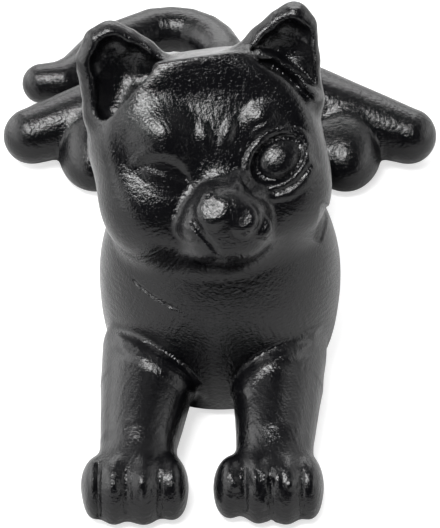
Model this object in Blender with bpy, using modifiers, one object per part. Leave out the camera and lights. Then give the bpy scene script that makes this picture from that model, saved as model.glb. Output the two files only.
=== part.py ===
"""Doorstop in the form of a lying cat, cast in iron.

The trunk with its legs and tail is one hollow casting, open underneath. The raised head is a second
casting. It stands on an inclined seat at the neck, an oval spigot keeps it from turning, and a hexagon
screw from inside the trunk holds it. Five thin pads keep the iron off the floor.
The cat looks along -Y, +X is to the right as one looks at its face, and the floor is z = 0.
Stations are measured backwards from the tips of the front toes.
"""

import math

import bmesh
import bpy
from mathutils import Matrix, Vector

MM = 0.001

# Fits
GAP = 0.3 * MM  # between two pieces that touch or pass through each other
OVERCUT = 5 * MM  # how far a cutter runs past the face that it opens

# Trunk
TOES_TO_CHEST = 45 * MM
TRUNK_LENGTH = 147 * MM  # front of the chest to the back of the rump
TAIL_BEHIND_RUMP = 47 * MM
CHEST_WIDTH = 69 * MM
CHEST_DEPTH = 68 * MM
CHEST_HEIGHT = 60 * MM
LOIN_WIDTH = 60 * MM
LOIN_LENGTH = 130 * MM
BACK_HEIGHT = 49 * MM
RUMP_WIDTH = 58 * MM
RUMP_LENGTH = 64 * MM
RUMP_HEIGHT = 37 * MM
GIRTH_HEIGHT = 20 * MM  # where the chest and the loin are widest
RUMP_GIRTH_HEIGHT = 15 * MM
WALL = 5.5 * MM

# Forelegs and front paws
PAW_SPREAD = 37.6 * MM  # between the middles of the two paws
PAW_SHIFT = -5.2 * MM  # both paws lie a little to the cat's right
ELBOW_SPREAD = 38 * MM
ELBOW_SHIFT = -2.4 * MM
WRIST_STATION = 24 * MM
LEG_WIDTH = 22.5 * MM
LEG_MIDDLE_HEIGHT = 9 * MM
SHOULDER_WIDTH = 27 * MM
SHOULDER_HEIGHT = 17 * MM
PAW_WIDTH = 30 * MM
PAW_LENGTH = 27 * MM
PAW_HEIGHT = 18.4 * MM
PAW_MIDDLE_HEIGHT = 7.6 * MM
TOE_WIDTH = 8.5 * MM
TOE_LENGTH = 16 * MM
TOE_HEIGHT = 16.6 * MM
TOE_MIDDLE_HEIGHT = 6.7 * MM
OUTER_TOE_BACK = 2.3 * MM  # how far the outer toes lie behind the middle ones
TOES = 4

# Hind legs: the thigh lies outwards to the knee, the paw lies forwards beside the belly
KNEE_REACH = 70 * MM  # from the middle of the trunk to the end of the knee
KNEE_STATION = 169 * MM
KNEE_WIDTH = 18.5 * MM
KNEE_MIDDLE_HEIGHT = 9.7 * MM
HIP_SPREAD = 46 * MM
HIP_STATION = 182 * MM
HIP_WIDTH = 26 * MM
HIP_MIDDLE_HEIGHT = 15 * MM
HIND_PAW_SPREAD = 79 * MM
HIND_PAW_STATION = 148 * MM  # front of the hind paw
HIND_PAW_LENGTH = 42 * MM
HIND_PAW_WIDTH = 25 * MM
HIND_PAW_HEIGHT = 20 * MM
HIND_PAW_MIDDLE_HEIGHT = 7 * MM

# Tail: it lies on the floor behind the rump and turns forwards and out on the cat's right
TAIL_WIDTH = 15 * MM
TAIL_ROOT_WIDTH = 16.5 * MM
TAIL_TIP_WIDTH = 13 * MM
TAIL_MIDDLE_HEIGHT = 7.6 * MM
TAIL_ROOT_HEIGHT = 12 * MM
TAIL_SWEEP = 66 * MM  # how far the tip lies out from the middle
TAIL_TIP_STATION = 200 * MM

# Head, about a centre of its own
HEAD_WIDTH = 66 * MM
HEAD_HEIGHT = 64 * MM  # of the rounded skull, before its crown is flattened
HEAD_DEPTH = 56 * MM
HEAD_STATION = 77 * MM
HEAD_RISE = 72 * MM
HEAD_SHIFT = -2.5 * MM
HEAD_LOOKS_UP = 30  # degrees
HEAD_LEAN = 4.5  # degrees, the crown leans to the cat's right
HEAD_TURN = 5  # degrees, to the cat's left
SKULL_WIDTH = 64 * MM
SKULL_SET_BACK = 2 * MM
CROWN_RISE = 30.3 * MM  # centre of the head up to the flat crown
CROWN_REACH = 10.5 * MM  # from the centre forward to the edge between crown and forehead
FOREHEAD_SLOPE = 6  # degrees, leaning back from square to the crown
CHEEK_WIDTH = 31.5 * MM
CHEEK_SPREAD = 33 * MM
CHEEK_FORWARD = 4.5 * MM
CHEEK_DROP = 10 * MM
BROW_WIDTH = 20 * MM
BROW_DEPTH = 18 * MM
BROW_HEIGHT = 18 * MM
BROW_SPREAD = 30 * MM
BROW_FORWARD = 6.5 * MM
BROW_RISE = 8 * MM
MUZZLE_WIDTH = 27 * MM
MUZZLE_HEIGHT = 20 * MM
MUZZLE_REACH = 30 * MM  # centre of the head to the tip of the nose
MUZZLE_DROP = 13 * MM  # centre of the head down to the middle of the muzzle
BRIDGE_WIDTH = 13 * MM  # between the brows
NOSE_WIDTH = 12 * MM
CHIN_WIDTH = 20 * MM
CHIN_HEIGHT = 12 * MM
CHIN_FORWARD = 16 * MM
CHIN_DROP = 21.5 * MM
NECK_WIDTH = 67 * MM
NECK_DEPTH = 56 * MM
NECK_MIDDLE_HEIGHT = 36 * MM
THROAT_WIDTH = 50 * MM
THROAT_SET_BACK = 9 * MM

# Ears
EAR_REACH = 42.5 * MM  # centre of the head up to the ear tip
EAR_SPREAD = 51.5 * MM  # between the middles of the two ear tips
EAR_INNER_SPREAD = 24 * MM  # between the inner roots
EAR_THICKNESS = 9 * MM
EAR_ROOT_RISE = 15 * MM  # centre of the head up to the outer root
EAR_INNER_ROOT_RISE = 25 * MM
EAR_SHOULDER_RISE = 32 * MM
EAR_SHOULDER_OUT = 1 * MM  # how far the outer edge bulges
EAR_HOLLOW_WIDTH = 9 * MM
EAR_HOLLOW_DEPTH = 6 * MM
EAR_HOLLOW_SHARE = 0.43  # of the way from the ear's middle to its rim

# Neck seat and its screw
SEAT_STATION = 78 * MM
SEAT_HEIGHT = 50 * MM
SEAT_SLOPE = 20  # degrees, rising to the back
SEAT_BEHIND = 45 * MM  # from the screw to the back of the seat
DECK = 7 * MM  # iron left under the seat
SPIGOT_SHORTER = 1.5 * MM  # than the deck is thick, so that the screw can draw the head down
SPIGOT_WIDTH = 20 * MM
SPIGOT_DEPTH = 14 * MM
SCREW_DIAMETER = 8 * MM
SCREW_LENGTH = 25 * MM
SCREW_HEAD_ACROSS = 13 * MM
SCREW_HEAD_HEIGHT = 5.3 * MM
TAP_RUNOUT = 3 * MM
WASHER_DIAMETER = 28 * MM
WASHER_THICKNESS = 2 * MM
SPRING_WASHER_DIAMETER = 14.8 * MM
SPRING_WASHER_THICKNESS = 2 * MM
SPRING_WASHER_SLIT = 1.5 * MM

# Floor pads
PAD_THICKNESS = 1.6 * MM
PAD_DIAMETER = 14 * MM
TAIL_PAD_DIAMETER = 7 * MM

# How finely the castings are meshed
VOXEL = 2.6 * MM
SMOOTHING_STEPS = 6
KEPT_SHARE = 0.26  # of the remeshed faces
KEPT_SHARE_INSIDE = 0.12
SIDES = 32  # round a turned piece

LENGTH = TOES_TO_CHEST + TRUNK_LENGTH + TAIL_BEHIND_RUMP
BASE = PAD_THICKNESS + GAP  # underside of the iron

COLLECTION = "cat_doorstop"


def clear_scene():
    for thing in list(bpy.data.objects):
        bpy.data.objects.remove(thing, do_unlink=True)


def make_collection(name):
    collection = bpy.data.collections.new(name)
    bpy.context.scene.collection.children.link(collection)
    return collection


def make_material(name, colour, roughness, metallic):
    material = bpy.data.materials.new(name)
    material.use_nodes = True
    shader = material.node_tree.nodes["Principled BSDF"]
    shader.inputs["Base Color"].default_value = (*colour, 1)
    shader.inputs["Roughness"].default_value = roughness
    shader.inputs["Metallic"].default_value = metallic
    return material


def at(x, station, z):
    """A point given by its distance from the middle, its station behind the toes and its height."""
    return Vector((x, station - LENGTH / 2, z))


def new_object(name, bm, collection, material=None):
    mesh = bpy.data.meshes.new(name)
    bm.to_mesh(mesh)
    bm.free()
    thing = bpy.data.objects.new(name, mesh)
    collection.objects.link(thing)
    if material:
        mesh.materials.append(material)
    return thing


def as_cutter(thing):
    thing.hide_render = True
    thing.display_type = "WIRE"
    return thing


def add_boolean(thing, operation, other):
    boolean = thing.modifiers.new(f"{operation.lower()} {other.name}", "BOOLEAN")
    boolean.operation = operation
    boolean.object = other
    boolean.solver = "EXACT"


def shade_round(thing):
    thing.data.shade_smooth()
    thing.data.set_sharp_from_angle(angle=math.radians(40))


def add_ellipsoid(bm, centre, radii, frame=Matrix.Identity(3)):
    """A ball stretched to three radii along the axes of a frame."""
    stretch = Matrix.Translation(centre) @ frame.to_4x4() @ Matrix.Diagonal((*radii, 1))
    bmesh.ops.create_icosphere(bm, subdivisions=4, radius=1, matrix=stretch)


def add_cone(bm, near, far, length, place, sides):
    bmesh.ops.create_cone(
        bm, cap_ends=True, segments=sides, radius1=near, radius2=far, depth=length, matrix=place
    )


def press_flat(bm, place, outwards):
    """Presses what stands out of a plane back onto it."""
    for corner in bm.verts:
        corner.co -= outwards * max(0, (corner.co - place).dot(outwards))


def add_limb(bm, points, widths):
    """A rounded limb: a ball of each width at its point and a cone from each ball to the next."""
    for point, width in zip(points, widths):
        add_ellipsoid(bm, point, (width / 2, width / 2, width / 2))
    for start, end, near, far in zip(points, points[1:], widths, widths[1:]):
        along = end - start
        turn = along.to_track_quat("Z", "Y").to_matrix().to_4x4()
        place = Matrix.Translation((start + end) / 2) @ turn
        add_cone(bm, near / 2, far / 2, along.length, place, SIDES)


def add_box(bm, low, high, frame=Matrix.Identity(4)):
    """A box between two corners that are given in a frame of its own."""
    size = Vector(high) - Vector(low)
    place = frame @ Matrix.Translation((Vector(low) + Vector(high)) / 2) @ Matrix.Diagonal((*size, 1))
    bmesh.ops.create_cube(bm, size=1, matrix=place)


def add_drum(bm, width, depth, low, high, frame, sides=SIDES):
    """An upright drum, round or oval, between two heights of a frame."""
    stretch = Matrix.Diagonal((width / 2, depth / 2, 1, 1))
    place = frame @ Matrix.Translation((0, 0, (low + high) / 2)) @ stretch
    add_cone(bm, 1, 1, high - low, place, sides)


def run_together(thing, kept_share):
    """Overlapping rounded masses become one skin with soft fillets, as in a carved foundry pattern."""
    remesh = thing.modifiers.new("one skin", "REMESH")
    remesh.mode = "VOXEL"
    remesh.voxel_size = VOXEL
    remesh.use_smooth_shade = True
    smooth = thing.modifiers.new("soft fillets", "SMOOTH")
    smooth.factor = 0.5
    smooth.iterations = SMOOTHING_STEPS
    fewer = thing.modifiers.new("fewer faces", "DECIMATE")
    fewer.ratio = kept_share


def head_axes():
    """Right, back and up of the head, after its lean, its look upwards and its turn."""
    lean = Matrix.Rotation(math.radians(-HEAD_LEAN), 3, "Y")
    tip = Matrix.Rotation(math.radians(-HEAD_LOOKS_UP), 3, "X")
    turn = Matrix.Rotation(math.radians(HEAD_TURN), 3, "Z")
    return turn @ tip @ lean


HEAD_AXES = head_axes()
HEAD_CENTRE = at(HEAD_SHIFT, HEAD_STATION, HEAD_RISE)
SEAT_TURN = Matrix.Rotation(math.radians(SEAT_SLOPE), 4, "X")
SEAT = Matrix.Translation(at(0, SEAT_STATION, SEAT_HEIGHT)) @ SEAT_TURN


def in_head(right, forward, up):
    return HEAD_CENTRE + HEAD_AXES @ Vector((right, -forward, up))


def trunk_masses():
    """Chest, loin and rump: the station of the middle, the width, the length, the height and the girth of each."""
    rump_end = TOES_TO_CHEST + TRUNK_LENGTH
    return (
        (TOES_TO_CHEST + CHEST_DEPTH / 2, CHEST_WIDTH, CHEST_DEPTH, CHEST_HEIGHT, GIRTH_HEIGHT),
        (TOES_TO_CHEST + TRUNK_LENGTH / 2, LOIN_WIDTH, LOIN_LENGTH, BACK_HEIGHT, GIRTH_HEIGHT),
        (rump_end - RUMP_LENGTH / 2, RUMP_WIDTH, RUMP_LENGTH, RUMP_HEIGHT, RUMP_GIRTH_HEIGHT),
    )


def add_trunk(bm, inset):
    """The masses of the trunk as ellipsoids that are drawn in by the inset."""
    for station, width, length, height, girth in trunk_masses():
        radii = (width / 2 - inset, length / 2 - inset, height - girth - inset)
        add_ellipsoid(bm, at(0, station, girth), radii)


def add_mouth_of_hollow(bm):
    """Straight way down from the girth, one wall inside each mass as it is at the base, so that the core draws."""
    for station, width, length, height, girth in trunk_masses():
        drawn_in = (girth - BASE) / (height - girth)
        section = math.sqrt(1 - drawn_in**2)
        place = Matrix.Translation(at(0, station, 0))
        add_drum(bm, width * section - 2 * WALL, length * section - 2 * WALL, -OVERCUT, girth, place)


def foreleg_x(side):
    return PAW_SHIFT + side * PAW_SPREAD / 2


def add_forelegs(bm):
    """Shoulder, elbow and wrist in one limb, and a paw with its toes side by side in front."""
    outermost = (TOES - 1) / 2
    for side in (-1, 1):
        x = foreleg_x(side)
        shoulder_x = side * (CHEST_WIDTH - SHOULDER_WIDTH) / 2
        shoulder = at(shoulder_x, TOES_TO_CHEST + SHOULDER_WIDTH / 2, SHOULDER_HEIGHT)
        elbow = at(ELBOW_SHIFT + side * ELBOW_SPREAD / 2, TOES_TO_CHEST, LEG_MIDDLE_HEIGHT)
        wrist = at(x, WRIST_STATION, LEG_MIDDLE_HEIGHT)
        add_limb(bm, [shoulder, elbow, wrist], [SHOULDER_WIDTH, LEG_WIDTH, LEG_WIDTH])
        paw_radii = (PAW_WIDTH / 2, PAW_LENGTH / 2, PAW_HEIGHT - PAW_MIDDLE_HEIGHT)
        add_ellipsoid(bm, at(x, PAW_LENGTH / 2, PAW_MIDDLE_HEIGHT), paw_radii)
        for toe in range(TOES):
            across = (toe - outermost) / outermost
            toe_x = x + across * (PAW_WIDTH - TOE_WIDTH) / 2
            station = TOE_LENGTH / 2 + OUTER_TOE_BACK * across**2
            toe_radii = (TOE_WIDTH / 2, TOE_LENGTH / 2, TOE_HEIGHT - TOE_MIDDLE_HEIGHT)
            add_ellipsoid(bm, at(toe_x, station, TOE_MIDDLE_HEIGHT), toe_radii)


def hind_paw_middle(side):
    return at(side * HIND_PAW_SPREAD / 2, HIND_PAW_STATION + HIND_PAW_LENGTH / 2, HIND_PAW_MIDDLE_HEIGHT)


def add_hind_legs(bm):
    paw_radii = (HIND_PAW_WIDTH / 2, HIND_PAW_LENGTH / 2, HIND_PAW_HEIGHT - HIND_PAW_MIDDLE_HEIGHT)
    for side in (-1, 1):
        hip = at(side * HIP_SPREAD / 2, HIP_STATION, HIP_MIDDLE_HEIGHT)
        knee = at(side * (KNEE_REACH - KNEE_WIDTH / 2), KNEE_STATION, KNEE_MIDDLE_HEIGHT)
        add_limb(bm, [hip, knee], [HIP_WIDTH, KNEE_WIDTH])
        add_ellipsoid(bm, hind_paw_middle(side), paw_radii)


def tail_points():
    """Middle line of the tail: back out of the rump, round to the cat's right and outwards at the tip.

    The bend behind the rump is half an oval, and the rest runs forwards from its end to the tip.
    """
    rump_end = TOES_TO_CHEST + TRUNK_LENGTH
    far = LENGTH - TAIL_WIDTH / 2
    tip_x = TAIL_WIDTH / 2 - TAIL_SWEEP
    bend_x = tip_x * 0.3
    bend_start = (rump_end + far) / 2
    points = [at(0, rump_end - TAIL_ROOT_WIDTH, TAIL_ROOT_HEIGHT)]
    for degrees in (15, 50, 90, 130):
        turned = math.radians(degrees)
        x = bend_x - (bend_x - TAIL_WIDTH * 0.05) * math.cos(turned)
        points.append(at(x, bend_start + (far - bend_start) * math.sin(turned), TAIL_MIDDLE_HEIGHT))
    points.append(at(tip_x * 0.7, (far + TAIL_TIP_STATION) / 2, TAIL_MIDDLE_HEIGHT))
    points.append(at(tip_x * 0.82, TAIL_TIP_STATION + TAIL_WIDTH * 0.15, TAIL_MIDDLE_HEIGHT))
    points.append(at(tip_x, TAIL_TIP_STATION, TAIL_MIDDLE_HEIGHT))
    return points


def add_tail(bm):
    points = tail_points()
    plain = [TAIL_WIDTH] * (len(points) - 3)
    add_limb(bm, points, [TAIL_ROOT_WIDTH, TAIL_ROOT_WIDTH, *plain, TAIL_TIP_WIDTH])


def ear_rim(side):
    """Outer root, outer shoulder, tip and inner root of an ear, along the middle of its rim."""
    outer = (HEAD_WIDTH - EAR_THICKNESS) / 2
    return [
        in_head(side * outer, 0, EAR_ROOT_RISE),
        in_head(side * (outer + EAR_SHOULDER_OUT), 0, EAR_SHOULDER_RISE),
        in_head(side * EAR_SPREAD / 2, 0, EAR_REACH - EAR_THICKNESS / 2),
        in_head(side * EAR_INNER_SPREAD / 2, 0, EAR_INNER_ROOT_RISE),
    ]


def add_ears(bm):
    """Each ear is a thick leaf: a round rim with a web between its sides."""
    for side in (-1, 1):
        rim = ear_rim(side)
        web = [near.lerp(far, 0.5) for near, far in zip(rim, rim[1:])]
        add_limb(bm, rim, [EAR_THICKNESS] * len(rim))
        add_limb(bm, [*web, rim[0]], [EAR_THICKNESS] * (len(web) + 1))


def add_ear_hollows(bm):
    """A scoop in the front of each ear that follows the ear's rim."""
    lift = EAR_THICKNESS / 2 - EAR_HOLLOW_DEPTH + EAR_HOLLOW_WIDTH / 2
    forward = HEAD_AXES @ Vector((0, -lift, 0))
    for side in (-1, 1):
        rim = ear_rim(side)
        middle = sum(rim, Vector()) / len(rim)
        path = [middle.lerp(point, EAR_HOLLOW_SHARE) + forward for point in rim]
        add_limb(bm, [*path, path[0]], [EAR_HOLLOW_WIDTH] * (len(path) + 1))


def add_skull(bm):
    """An oval mass with a flat crown, and with a flat forehead that leans back a little from square to it."""
    whole = bmesh.new()
    middle = in_head(0, -SKULL_SET_BACK, SKULL_SET_BACK)
    add_ellipsoid(whole, middle, (SKULL_WIDTH / 2, HEAD_DEPTH / 2, HEAD_HEIGHT / 2), HEAD_AXES)
    edge = in_head(0, CROWN_REACH, CROWN_RISE)
    lean = Matrix.Rotation(math.radians(-FOREHEAD_SLOPE), 3, "X")
    press_flat(whole, edge, HEAD_AXES @ lean @ Vector((0, -1, 0)))
    press_flat(whole, edge, HEAD_AXES @ Vector((0, 0, 1)))
    pressed = bpy.data.meshes.new("skull")
    whole.to_mesh(pressed)
    whole.free()
    bm.from_mesh(pressed)
    bpy.data.meshes.remove(pressed)


def add_head(bm):
    """Skull, cheeks, brows, muzzle, bridge of the nose and chin, each an oval mass of its own."""
    add_skull(bm)
    muzzle = MUZZLE_WIDTH / 2
    nose = in_head(0, MUZZLE_REACH - muzzle, -MUZZLE_DROP)
    add_ellipsoid(bm, nose, (muzzle, muzzle, MUZZLE_HEIGHT / 2), HEAD_AXES)
    bridge_top = in_head(0, BROW_FORWARD + BRIDGE_WIDTH / 4, BROW_RISE - BROW_HEIGHT / 2)
    nose_tip = in_head(0, MUZZLE_REACH - NOSE_WIDTH / 2, NOSE_WIDTH / 4 - MUZZLE_DROP)
    add_limb(bm, [bridge_top, nose_tip], [BRIDGE_WIDTH, NOSE_WIDTH])
    chin = in_head(0, CHIN_FORWARD, -CHIN_DROP)
    add_ellipsoid(bm, chin, (CHIN_WIDTH / 2, CHIN_WIDTH / 2, CHIN_HEIGHT / 2), HEAD_AXES)
    cheek_radii = (CHEEK_WIDTH / 2, CHEEK_WIDTH / 2, CHEEK_WIDTH / 2)
    brow_radii = (BROW_WIDTH / 2, BROW_DEPTH / 2, BROW_HEIGHT / 2)
    for side in (-1, 1):
        cheek = in_head(side * CHEEK_SPREAD / 2, CHEEK_FORWARD, -CHEEK_DROP)
        brow = in_head(side * BROW_SPREAD / 2, BROW_FORWARD, BROW_RISE)
        add_ellipsoid(bm, cheek, cheek_radii, HEAD_AXES)
        add_ellipsoid(bm, brow, brow_radii, HEAD_AXES)


def add_neck(bm, inset):
    """The root of the neck, wide between the shoulders, and the throat that rises into the head."""
    root = at(0, SEAT_STATION, NECK_MIDDLE_HEIGHT)
    half = NECK_WIDTH / 2 - inset
    add_ellipsoid(bm, root, (half, NECK_DEPTH / 2 - inset, half))
    throat = THROAT_WIDTH - 2 * inset
    add_limb(bm, [root, in_head(0, -THROAT_SET_BACK, 0)], [throat, throat])


def add_cat(bm):
    add_trunk(bm, 0)
    add_forelegs(bm)
    add_hind_legs(bm)
    add_tail(bm)
    add_neck(bm, 0)
    add_head(bm)
    add_ears(bm)


def make_floor_cutter(cutters):
    """Everything below the underside of the iron."""
    bm = bmesh.new()
    far = LENGTH + OVERCUT
    add_box(bm, (-far, -far, -far), (far, far, BASE))
    return as_cutter(new_object("below_the_base", bm, cutters))


def make_seat_cutter(name, raised, cutters):
    """The space of the head: above the seat's plane, and in front of the back of the seat."""
    bm = bmesh.new()
    far = LENGTH
    add_box(bm, (-far, -far, raised), (far, SEAT_BEHIND - raised, far), SEAT)
    return as_cutter(new_object(name, bm, cutters))


def make_hollow(cutters):
    """The hollow of the trunk, one wall inside it, open underneath and level with the deck."""
    bm = bmesh.new()
    add_trunk(bm, WALL)
    add_neck(bm, WALL)
    add_mouth_of_hollow(bm)
    hollow = as_cutter(new_object("hollow", bm, cutters))
    run_together(hollow, KEPT_SHARE_INSIDE)
    bm = bmesh.new()
    add_box(bm, (-LENGTH, -LENGTH, -DECK), (LENGTH, SEAT_BEHIND, LENGTH), SEAT)
    deck = as_cutter(new_object("deck", bm, cutters))
    add_boolean(hollow, "DIFFERENCE", deck)
    return hollow


def make_drum(name, width, depth, low, high, collection, sides=SIDES):
    """A drum square to the seat, on the axis of the neck screw."""
    bm = bmesh.new()
    add_drum(bm, width, depth, low, high, SEAT, sides)
    return new_object(name, bm, collection)


def make_castings(parts, cutters, enamel):
    floor = make_floor_cutter(cutters)
    spigot_end = SPIGOT_SHORTER - DECK
    tap_end = SCREW_LENGTH + screw_head_top() + TAP_RUNOUT
    hole = SCREW_DIAMETER + 2 * GAP

    bm = bmesh.new()
    add_cat(bm)
    body = new_object("body_casting", bm, parts, enamel)
    run_together(body, KEPT_SHARE)
    socket = make_drum(
        "spigot_socket", SPIGOT_WIDTH + 2 * GAP, SPIGOT_DEPTH + 2 * GAP, -DECK - OVERCUT, OVERCUT, cutters
    )
    add_boolean(body, "DIFFERENCE", floor)
    add_boolean(body, "DIFFERENCE", make_seat_cutter("above_the_seat", 0, cutters))
    add_boolean(body, "DIFFERENCE", make_hollow(cutters))
    add_boolean(body, "DIFFERENCE", as_cutter(socket))

    bm = bmesh.new()
    add_cat(bm)
    head = new_object("head_casting", bm, parts, enamel)
    run_together(head, KEPT_SHARE)
    bm = bmesh.new()
    add_ear_hollows(bm)
    scoops = as_cutter(new_object("ear_scoops", bm, cutters))
    run_together(scoops, KEPT_SHARE)
    spigot = make_drum("spigot", SPIGOT_WIDTH, SPIGOT_DEPTH, spigot_end, OVERCUT, cutters)
    tapped = make_drum("tapped_hole", hole, hole, spigot_end - OVERCUT, tap_end, cutters)
    add_boolean(head, "INTERSECT", make_seat_cutter("head_space", GAP, cutters))
    add_boolean(head, "DIFFERENCE", scoops)
    add_boolean(head, "UNION", as_cutter(spigot))
    add_boolean(head, "DIFFERENCE", as_cutter(tapped))


def washer_top():
    return -DECK - GAP


def spring_washer_top():
    return washer_top() - WASHER_THICKNESS - GAP


def screw_head_top():
    return spring_washer_top() - SPRING_WASHER_THICKNESS - GAP


def make_ring(name, outer, top, thickness, parts, material):
    """A turned ring on the screw's axis: its section is carried once round the axis."""
    inner = SCREW_DIAMETER / 2 + GAP
    bm = bmesh.new()
    section = ((outer / 2, top), (outer / 2, top - thickness), (inner, top - thickness), (inner, top))
    corners = [bm.verts.new((radius, 0, height)) for radius, height in section]
    for near, far in zip(corners, corners[1:] + corners[:1]):
        bm.edges.new((near, far))
    ring = new_object(name, bm, parts, material)
    ring.matrix_world = SEAT
    turn = ring.modifiers.new("turned", "SCREW")
    turn.steps = SIDES
    turn.render_steps = SIDES
    turn.use_merge_vertices = True
    turn.merge_threshold = 0.00001
    shade_round(ring)
    return ring


def make_fasteners(parts, cutters, steel):
    make_ring("flat_washer", WASHER_DIAMETER, washer_top(), WASHER_THICKNESS, parts, steel)
    spring = make_ring(
        "spring_washer",
        SPRING_WASHER_DIAMETER,
        spring_washer_top(),
        SPRING_WASHER_THICKNESS,
        parts,
        steel,
    )
    bm = bmesh.new()
    middle = spring_washer_top() - SPRING_WASHER_THICKNESS / 2
    slant = SEAT @ Matrix.Translation((0, 0, middle)) @ Matrix.Rotation(math.radians(30), 4, "X")
    half = SPRING_WASHER_SLIT / 2
    add_box(bm, (0, -half, -OVERCUT), (SPRING_WASHER_DIAMETER, half, OVERCUT), slant)
    add_boolean(spring, "DIFFERENCE", as_cutter(new_object("washer_slit", bm, cutters)))

    top = screw_head_top()
    corners = SCREW_HEAD_ACROSS / math.cos(math.radians(30))
    screw = make_drum("neck_screw", corners, corners, top - SCREW_HEAD_HEIGHT, top, parts, 6)
    screw.data.materials.append(steel)
    shank = make_drum("shank", SCREW_DIAMETER, SCREW_DIAMETER, top - GAP, top + SCREW_LENGTH, cutters)
    add_boolean(screw, "UNION", as_cutter(shank))
    shade_round(screw)


def make_pads(parts, rubber):
    """Round pads under the four paws and under the turn of the tail."""
    tail = tail_points()[3]
    places = (
        ("pad_front_left", at(foreleg_x(-1), PAW_LENGTH / 2, 0), PAD_DIAMETER),
        ("pad_front_right", at(foreleg_x(1), PAW_LENGTH / 2, 0), PAD_DIAMETER),
        ("pad_hind_left", hind_paw_middle(-1), PAD_DIAMETER),
        ("pad_hind_right", hind_paw_middle(1), PAD_DIAMETER),
        ("pad_tail", tail, TAIL_PAD_DIAMETER),
    )
    for name, place, diameter in places:
        bm = bmesh.new()
        add_drum(bm, diameter, diameter, 0, PAD_THICKNESS, Matrix.Translation((place.x, place.y, 0)))
        shade_round(new_object(name, bm, parts, rubber))


def main():
    clear_scene()
    parts = make_collection(COLLECTION)
    cutters = make_collection("cutters")
    enamel = make_material("black_enamel", (0.012, 0.012, 0.013), 0.35, 0.0)
    steel = make_material("zinc_plated_steel", (0.55, 0.56, 0.58), 0.35, 1.0)
    rubber = make_material("black_rubber", (0.02, 0.02, 0.02), 0.8, 0.0)
    make_castings(parts, cutters, enamel)
    make_fasteners(parts, cutters, steel)
    make_pads(parts, rubber)


main()
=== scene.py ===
import math

import bmesh
import bpy
import numpy as np
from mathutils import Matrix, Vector


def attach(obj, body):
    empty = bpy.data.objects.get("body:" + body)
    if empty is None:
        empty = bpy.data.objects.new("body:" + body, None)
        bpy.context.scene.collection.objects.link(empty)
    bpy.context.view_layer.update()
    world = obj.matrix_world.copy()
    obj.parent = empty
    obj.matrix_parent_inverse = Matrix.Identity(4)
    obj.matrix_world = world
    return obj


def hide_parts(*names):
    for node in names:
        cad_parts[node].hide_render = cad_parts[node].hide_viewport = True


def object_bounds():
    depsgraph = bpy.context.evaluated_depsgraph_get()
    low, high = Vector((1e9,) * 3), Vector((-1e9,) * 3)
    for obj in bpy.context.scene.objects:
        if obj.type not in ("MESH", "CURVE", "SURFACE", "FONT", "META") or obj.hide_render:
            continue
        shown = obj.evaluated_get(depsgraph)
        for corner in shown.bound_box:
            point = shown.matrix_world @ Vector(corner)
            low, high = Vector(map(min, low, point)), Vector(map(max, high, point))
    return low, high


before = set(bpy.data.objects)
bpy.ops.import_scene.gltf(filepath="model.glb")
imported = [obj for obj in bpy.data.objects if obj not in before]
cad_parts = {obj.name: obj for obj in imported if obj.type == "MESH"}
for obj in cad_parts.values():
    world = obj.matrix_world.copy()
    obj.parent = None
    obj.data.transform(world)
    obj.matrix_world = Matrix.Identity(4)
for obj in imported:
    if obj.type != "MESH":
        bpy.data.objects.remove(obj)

cad_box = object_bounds()

# Body casting
# Grey iron, cast in sand from a carved pattern: trunk, legs and tail in one piece, hollow underneath.
# The neck ends in an inclined seat, on which the head stands.

# The forms of the pattern run into each other with soft fillets, which a grid of two parameters can't
# follow. So the skin is worked out from distances: each mass gives every point its distance, a blend rounds
# the corner between two of them, and the skin lies where the blended distance is zero. Lengths are in
# millimetres here, and a station is measured backwards from the front of the toes.
LENGTH = 239.0


def at(x, station, z):
    """A point given by its distance from the middle, its station behind the toes and its height."""
    return np.array((x, station - LENGTH / 2, z))


def oval(p, centre, radii, axes=None):
    """Distance to an ellipsoid: the offset over the radii is a share of the way out; less 1, scaled back."""
    local = p - np.reshape(centre, (3, 1)).astype(p.dtype)
    if axes is not None:
        local = axes.T.astype(p.dtype) @ local
    radii = np.reshape(radii, (3, 1)).astype(p.dtype)
    share = np.sqrt(((local / radii) ** 2).sum(0)) + 1e-6
    slope = np.sqrt(((local / radii**2) ** 2).sum(0)) + 1e-6
    return share * (share - 1) / slope


def limb(p, points, widths):
    """Distance to a limb: to the nearest place on a bent middle line, less half the width it has there."""
    nearest = None
    for start, end, near, far in zip(points, points[1:], widths, widths[1:]):
        along = (end - start).astype(p.dtype).reshape(3, 1)
        offset = p - start.reshape(3, 1).astype(p.dtype)
        share = np.clip((offset * along).sum(0) / (along**2).sum(), 0, 1)
        gap = np.sqrt(((offset - along * share) ** 2).sum(0)) - (near + (far - near) * share) / 2
        nearest = gap if nearest is None else np.minimum(nearest, gap)
    return nearest


def blend(first, second, radius):
    """Union with a fillet: the smaller distance, less a quarter of the squared overlap of the two."""
    overlap = np.clip(radius - np.abs(first - second), 0, None) / radius
    return np.minimum(first, second) - overlap**2 * radius / 4


def carve(whole, tool, radius):
    """What is left when a tool is cut out, its edges rounded: the blend of both outsides, turned round."""
    return -blend(-whole, tool, radius)


def ease(share):
    """Soft step from 0 to 1: three times the square less twice the cube."""
    share = np.clip(share, 0, 1)
    return share * share * (3 - 2 * share)


# Chest, loin and rump: station of the middle, width, length, height, and height of the girth.
TRUNK_MASSES = (
    (79, 69, 68, 60, 20),
    (118.5, 60, 130, 49, 20),
    (160, 58, 64, 37, 15),
)


def trunk(p, inset=0.0):
    """The masses of the trunk, each an oval that is smaller by the inset all round."""
    whole = None
    for station, width, length, height, girth in TRUNK_MASSES:
        radii = (width / 2 - inset, length / 2 - inset, height - girth - inset)
        mass = oval(p, at(0, station, girth), radii)
        whole = mass if whole is None else blend(whole, mass, 8)
    return whole


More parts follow.
